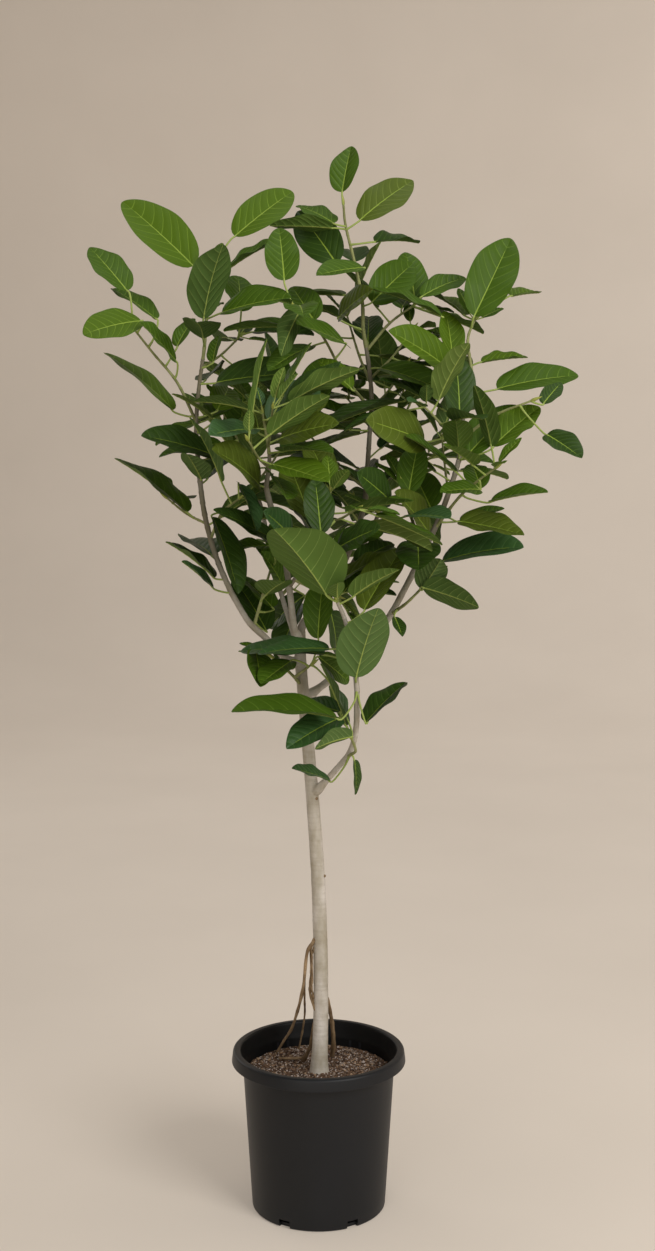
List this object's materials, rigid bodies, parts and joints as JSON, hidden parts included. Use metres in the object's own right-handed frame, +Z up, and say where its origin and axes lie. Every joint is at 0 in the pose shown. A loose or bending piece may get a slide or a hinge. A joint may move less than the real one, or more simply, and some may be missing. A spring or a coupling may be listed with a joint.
{
  "type": "potted audrey ficus tree",
  "caption": "Small broadleaf tree in a round nursery pot: bare leaning trunk with aerial roots, forked boughs and masses of broad oval leaves.",
  "frame": {"origin": "middle of the pot's flat underside", "axes": "+Z up along the trunk, the side in the picture faces -Y, +X to its right"},
  "size_m": [0.8245, 0.5634, 1.8358],
  "materials": {
    "pot_plastic": "matte black, slightly shiny on the lip",
    "potting_soil": "coarse brown bark mix with white grains",
    "bark": "pale grey-brown, finely ringed",
    "foliage": "green leaves, satin above and matt below"
  },
  "bodies": {
    "root": {"pot": "pot_plastic", "soil": "potting_soil", "trunk": "bark", "bough_left": "bark", "bough_right": "bark", "bough_front": "bark", "bough_leader": "bark", "bough_centre": "bark", "bough_back_left": "bark", "bough_back_right": "bark", "aerial_root_front": "bark", "aerial_root_inner": "bark", "foliage_left_low": "foliage", "foliage_left_top": "foliage", "foliage_right_low": "foliage", "foliage_right_top": "foliage", "foliage_leader_low": "foliage", "foliage_leader_mid": "foliage", "foliage_crown_top": "foliage", "foliage_centre": "foliage", "foliage_centre_right": "foliage", "foliage_front": "foliage", "foliage_front_low": "foliage", "foliage_left_inner": "foliage", "foliage_low_left": "foliage", "foliage_right_under": "foliage", "foliage_right_inner": "foliage", "foliage_back_left": "foliage", "foliage_back_right": "foliage", "foliage_back_low": "foliage"}
  },
  "joints": []
}
